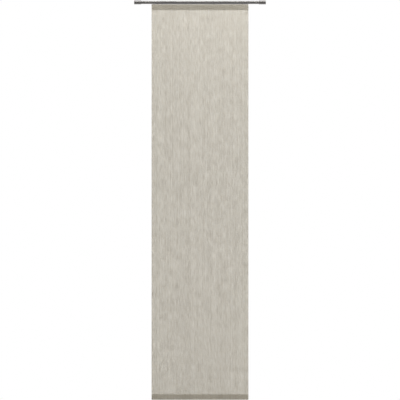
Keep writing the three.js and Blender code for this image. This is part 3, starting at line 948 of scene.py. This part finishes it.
@dataclass
class Carrier:
    """The aluminium carrier with its caps and the two halves of the touch tape."""

    edge: float = 0.25
    cap_edge: float = 0.5
    tape_edge: float = 0.1
    alloy: Finish = SatinAnodisedAluminium()
    cap_plastic: Finish = MouldedPlastic("moulded_carrier_cap", "#A6A39C", "#AFACA5", (0.49, 0.61))
    hooks: Finish = WovenTape("hook_tape_nylon", "#8C877D", "#A8A399", 0.5)
    loops: Finish = WovenTape("loop_tape_velour", "#989387", "#B5B0A5", 0.8)

    def build(self) -> None:
        """Makes the carrier, its end caps and both tapes."""
        shape = eased("carrier", self.edge)
        alloy = self.alloy.material()
        make_piece("carrier_extrusion", shape, alloy, "panel", ["carrier"])
        plastic = self.cap_plastic.material()
        for side in ("left", "right"):
            node = f"carrier_cap_{side}"
            shape = eased(node, self.cap_edge)
            make_piece(f"moulded_{node}", shape, plastic, "panel", [node])
        for node, tape in (("hook_tape", self.hooks), ("loop_tape", self.loops)):
            shape = eased(node, self.tape_edge)
            make_piece(f"{node}_woven", shape, tape.material(), "panel", [node])


@dataclass
class WeightBar:
    """The flat aluminium bar in the hem, with its plastic caps."""

    edge: float = 0.15
    cap_edge: float = 0.3
    alloy: Finish = SatinAnodisedAluminium("satin_hem_bar")
    cap_plastic: Finish = MouldedPlastic("moulded_bar_cap", "#9C9991", "#A6A39B", (0.49, 0.61))

    def build(self) -> None:
        """Makes the bar and its caps."""
        shape = eased("weight_bar", self.edge)
        make_piece("hem_bar", shape, self.alloy.material(), "panel", ["weight_bar"])
        plastic = self.cap_plastic.material()
        for side in ("left", "right"):
            node = f"bar_cap_{side}"
            shape = eased(node, self.cap_edge)
            make_piece(f"moulded_{node}", shape, plastic, "panel", [node])


@dataclass(frozen=True)
class ClothRow:
    """One row of the sheet: its place in metres, and whether it lies in the open drop, where slubs show."""

    y: float
    z: float
    in_drop: bool = False


@dataclass
class ClothPanel:
    """The cloth: one sheet that turns over at the top and goes round the weight bar at the bottom."""

    columns: int = 360
    # Where the rows lie, as shares of a stretch, or how many steps there are in it.
    turning_rows: tuple[float, ...] = (1.0, 0.67, 0.34)
    steps_in_fold: int = 8
    steps_in_drop: int = 84
    steps_round_bar: int = 12
    rows_behind_bar: tuple[float, ...] = (0.25, 0.5, 0.75, 1.0)
    rows_to_seam: tuple[float, ...] = (0.3, 0.6, 1.0)
    hem_end_rows: tuple[float, ...] = (0.5, 1.0)
    thick: float = 0.8
    thin: float = 0.4
    cloth: float = 0.6
    tape_gap: float = 0.15
    turning: float = 31.0
    bar_gap: float = 0.3
    seam_rise: float = 1.6
    hem_end: float = 1.5
    bow: float = 0.6
    slub_width: float = 5.0
    slub_length: float = 130.0
    # How much finer the short slubs are across and along the panel, and the share of long and short ones.
    short_slub: Span = (1.9, 2.6)
    slub_shares: Span = (0.9, 0.45)
    # Slices of the noise that are far enough apart to have nothing in common.
    noise_slices: Span = (3.1, 7.7)
    # How thick the yarns are outside the drop, from 0 to 1.
    plain_yarn: float = 0.3
    stitch_pitch: float = 3.2
    stitch_length: float = 2.5
    stitch_width: float = 0.45
    stitch_facets: int = 8
    stitch_rings: int = 5
    stitch_drops_at_tape: Span = (6.5, 28.5)
    stitch_sharp: float = 60.0
    voile: Finish = SlubVoile()
    thread: Finish = WovenTape("polyester_thread", "#B7B09E", "#C9C3B3", 0.3)
    # What follows is in metres.
    low: Vector = field(init=False)
    high: Vector = field(init=False)
    bar_high: Vector = field(init=False)
    back_y: float = field(init=False)
    half: float = field(init=False)
    pocket_y: float = field(init=False)
    pocket_radius: float = field(init=False)

    def __post_init__(self) -> None:
        """Takes the cloth's corners and the pocket round the bar from the frame."""
        self.low, self.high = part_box("cloth_panel")
        tape_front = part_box("loop_tape")[0].y
        self.back_y = tape_front - (self.tape_gap + self.cloth) * MM
        self.half = self.cloth / 2 * MM
        bar_low, self.bar_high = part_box("weight_bar")
        self.pocket_y = (bar_low.y + self.bar_high.y) / 2
        self.pocket_radius = (self.bar_high.y - bar_low.y) / 2 + self.bar_gap * MM + self.half

    def route(self) -> list[ClothRow]:
        """Works out the middle of the cloth's section, from its top hem, down the front and round the bar.

        Returns:
            The rows of the sheet.
        """
        half, centre_y, pocket = self.half, self.pocket_y, self.pocket_radius
        fold_z = self.high.z - 2 * half
        turning = self.turning * MM
        rows = [ClothRow(self.back_y + half, fold_z - turning * share) for share in self.turning_rows]
        for step in range(self.steps_in_fold + 1):
            angle = math.pi * step / self.steps_in_fold
            rows.append(ClothRow(self.back_y + half * math.cos(angle), fold_z + half * math.sin(angle)))
        front_y = centre_y - pocket
        centre_z = self.low.z + pocket + half
        top_y, top_z = self.back_y - half, fold_z - turning
        for step in range(self.steps_in_drop + 1):
            share = step / self.steps_in_drop
            y, z = top_y + (front_y - top_y) * share, top_z + (centre_z - top_z) * share
            rows.append(ClothRow(y, z, in_drop=True))
        for step in range(1, self.steps_round_bar + 1):
            angle = math.pi + math.pi * step / self.steps_round_bar
            rows.append(ClothRow(centre_y + pocket * math.cos(angle), centre_z + pocket * math.sin(angle)))
        back_y, bar_top = centre_y + pocket, self.bar_high.z
        rows += [ClothRow(back_y, centre_z + (bar_top - centre_z) * share) for share in self.rows_behind_bar]
        seam_y, seam_z = front_y + 2 * half, bar_top + self.seam_rise * MM
        for share in self.rows_to_seam:
            y, z = back_y + (seam_y - back_y) * share, bar_top + (seam_z - bar_top) * smooth_step(share)
            rows.append(ClothRow(y, z))
        rows += [ClothRow(seam_y, seam_z + self.hem_end * MM * share) for share in self.hem_end_rows]
        return rows

    def length(self) -> float:
        """Adds up the route's length, which is what the cloth was cut to, in metres."""
        rows = self.route()
        return sum(math.dist((a.y, a.z), (b.y, b.z)) for a, b in zip(rows, rows[1:]))

    def slub(self, x: float, z: float) -> float:
        """Says how thick the yarns are at a place.

        Args:
            x: The place across the panel, in metres.
            z: The place along the drop, in metres.

        Returns:
            The thickness, from 0 for thin to 1 for a slub.
        """
        across, along = x / (self.slub_width * MM), z / (self.slub_length * MM)
        finer_across, finer_along = self.short_slub
        long_slice, short_slice = self.noise_slices
        long_share, short_share = self.slub_shares
        long = noise.noise(Vector((across, long_slice, along)))
        short = noise.noise(Vector((across * finer_across, short_slice, along * finer_along)))
        return smooth_step(max(0.0, min(1.0, 0.5 + long_share * long + short_share * short)))

    def sheet(self) -> Piece:
        """Lays a grid along the section's route and thickens it, more where the yarns are thick.

        Returns:
            The cloth.
        """
        rows = self.route()
        shape = bmesh.new()
        bmesh.ops.create_grid(shape, x_segments=self.columns, y_segments=len(rows) - 1, size=0.5)
        slubs = []
        width = self.high.x - self.low.x
        for vert in shape.verts:
            row = rows[round((0.5 - vert.co.y) * (len(rows) - 1))]
            x = vert.co.x * width
            bow = 0.0
            if row.in_drop:
                share = (row.z - self.low.z) / (self.high.z - self.low.z)
                bow = self.bow * MM * math.sin(math.pi * share) * math.cos(math.pi * x / width)
            slubs.append(self.slub(x, row.z) if row.in_drop else self.plain_yarn)
            vert.co = Vector((x, row.y - bow, row.z))
        bmesh.ops.recalc_face_normals(shape, faces=shape.faces)
        material = self.voile.material()
        piece = make_piece("slub_cloth", shape, material, "panel", ["cloth_panel"], sharp=180.0)
        group = piece.vertex_groups.new(name="yarn")
        for index, value in enumerate(slubs):
            group.add([index], value, "REPLACE")
        attribute = piece.data.attributes.new("slub", "FLOAT", "POINT")
        attribute.data.foreach_set("value", slubs)
        solid = piece.modifiers.new("yarn", "SOLIDIFY")
        solid.thickness = self.thick * MM
        solid.offset = 0.0
        solid.vertex_group = "yarn"
        solid.thickness_vertex_group = self.thin / self.thick
        solid.use_even_offset = False
        return piece

    def stitches(self) -> Piece:
        """Sews the tape's two seams, and the hem's seam on both faces, as short lens-shaped stitches.

        Returns:
            All the stitches as one piece.
        """
        shape = bmesh.new()
        seams = [(self.high.z - drop * MM, self.back_y - 2 * self.half) for drop in self.stitch_drops_at_tape]
        hem_z = self.bar_high.z + (self.seam_rise + self.hem_end / 2) * MM
        hem_front = self.pocket_y - self.pocket_radius - self.half
        seams += [(hem_z, hem_front), (hem_z, hem_front + 4 * self.half)]
        pitch = self.stitch_pitch * MM
        count = int((self.high.x - self.low.x) / pitch) - 1
        thread = self.stitch_width / 2 * MM
        size = Matrix.Diagonal((self.stitch_length / 2 * MM, thread, thread, 1))
        for z, y in seams:
            place = Matrix.Translation(((1 - count) / 2 * pitch, y, z))
            stitch = bmesh.ops.create_uvsphere(
                shape,
                u_segments=self.stitch_facets,
                v_segments=self.stitch_rings,
                radius=1,
                matrix=place @ size,
            )
            edges = {edge for vert in stitch["verts"] for edge in vert.link_edges}
            faces = {face for vert in stitch["verts"] for face in vert.link_faces}
            bmesh.ops.spin(
                shape,
                geom=[*stitch["verts"], *edges, *faces],
                axis=(0, 0, 1),
                angle=0.0,
                dvec=(pitch, 0, 0),
                steps=count - 1,
                use_duplicate=True,
            )
        material = self.thread.material()
        return make_piece("seam_stitches", shape, material, "panel", sharp=self.stitch_sharp)

    def build(self) -> None:
        """Makes the cloth and its seams, and states the size that it was cut to."""
        flat = (self.high.x - self.low.x, self.length())
        cloth = self.sheet()
        seams = self.stitches()
        LOG.info("cloth cut to %.3f by %.3f m", *flat)


@dataclass(frozen=True)
class Lamp:
    """A soft rectangular lamp: where it stands and points and its size in metres, and its power in watts."""

    name: str
    place: tuple[float, float, float]
    target: tuple[float, float, float]
    size: Span
    power: float
    # Whether metal shows it as a highlight.
    mirrored: bool = False

    def build(self) -> None:
        """Adds the lamp to the scene."""
        data = bpy.data.lights.new(self.name, "AREA")
        data.shape = "RECTANGLE"
        data.size, data.size_y = self.size
        data.energy = self.power
        lamp = bpy.data.objects.new(self.name, data)
        lamp.location = self.place
        way = Vector(self.target) - Vector(self.place)
        lamp.rotation_euler = way.to_track_quat("-Z", "Y").to_euler()
        lamp.visible_glossy = self.mirrored
        bpy.context.collection.objects.link(lamp)


@dataclass
class Studio:
    """The camera straight in front, the lamps, a pale floor and a white background."""

    frame_height: float = 2477.6
    above_axis: float = 15.0
    camera_distance: float = 4000.0
    camera_reach: float = 50000.0
    floor_gap: float = 20.0
    floor_radius: float = 30000.0
    floor_facets: int = 96
    ambient: float = 0.45
    # The darker side of the room in front of the panel, and between which directions along Y it fades.
    room_front: float = 0.2
    room_front_fade: Span = (-0.9, -0.6)
    floor_paint: Finish = PaleFloor()
    lamps: tuple[Lamp, ...] = (
        Lamp("key", (0.6, -0.85, 2.1), (0.6, 0.0, -0.1), (3.8, 0.6), 90.0, mirrored=True),
        Lamp("fill", (0.2, -2.2, -2.1), (0.0, 0.0, -0.4), (2.4, 0.6), 17.0),
        Lamp("back", (0.2, 1.5, 0.7), (0.0, 0.0, 0.0), (1.2, 1.0), 57.0),
    )

    def camera(self) -> None:
        """Sets a straight-on camera without perspective, as the photograph shows the panel."""
        data = bpy.data.cameras.new("camera")
        data.type = "ORTHO"
        data.ortho_scale = self.frame_height * MM
        data.clip_end = self.camera_reach * MM
        camera = bpy.data.objects.new("camera", data)
        bpy.context.collection.objects.link(camera)
        top = rod_axis() + self.above_axis * MM
        camera.location = (0, -self.camera_distance * MM, top - self.frame_height / 2 * MM)
        camera.rotation_euler = (math.pi / 2, 0, 0)
        bpy.context.scene.camera = camera

    def world(self) -> None:
        """Makes the surroundings white where they are seen, and softer where they only light.

        Metal mirrors them as white too, but for the darker side of the room in front of the panel.
        """
        world = bpy.data.worlds.new("studio")
        world.use_nodes = True
        tree = world.node_tree
        tree.nodes.clear()
        path = add_node(tree, "ShaderNodeLightPath").outputs
        place = add_node(tree, "ShaderNodeTexCoord").outputs["Generated"]
        towards = add_node(tree, "ShaderNodeSeparateXYZ", {0: place}).outputs["Y"]
        dark, bright = self.room_front_fade
        inputs = {"Value": towards, "From Min": dark, "From Max": bright, "To Min": self.room_front}
        mirrored = add_node(tree, "ShaderNodeMapRange", inputs, interpolation_type="SMOOTHSTEP")
        backgrounds = []
        for strength in (self.ambient, mirrored.outputs["Result"], 1.0):
            inputs = {"Color": (1, 1, 1, 1), "Strength": strength}
            backgrounds.append(add_node(tree, "ShaderNodeBackground", inputs).outputs["Background"])
        surface, room, white = backgrounds
        for ray, seen in (("Is Transmission Ray", white), ("Is Glossy Ray", room), ("Is Camera Ray", white)):
            surface = add_node(tree, "ShaderNodeMixShader", {0: path[ray], 1: surface, 2: seen}).outputs[0]
        add_node(tree, "ShaderNodeOutputWorld", {"Surface": surface})
        bpy.context.scene.world = world

    def floor(self) -> None:
        """Lays the floor just under the panel."""
        shape = bmesh.new()
        place = Matrix.Translation((0, 0, CAD_BOUNDS[0].z - self.floor_gap * MM))
        bmesh.ops.create_circle(
            shape,
            cap_ends=True,
            radius=self.floor_radius * MM,
            segments=self.floor_facets,
            matrix=place,
        )
        floor = make_object("floor", shape)
        floor.data.materials.append(self.floor_paint.material())

    def build(self) -> None:
        """Sets up the studio."""
        self.camera()
        self.world()
        self.floor()
        for lamp in self.lamps:
            lamp.build()
        bpy.context.scene.view_settings.view_transform = "Standard"


def main() -> None:
    """Sets up the studio and builds the curtain in it; the builders log each piece's faces and the cloth's
    cut size.
    """
    logging.basicConfig(level=logging.INFO, format="%(name)s: %(message)s")
    Studio().build()
    SlottedRod().build()
    Runners().build()
    Carrier().build()
    ClothPanel().build()
    WeightBar().build()


if __name__ == "__main__":
    main()
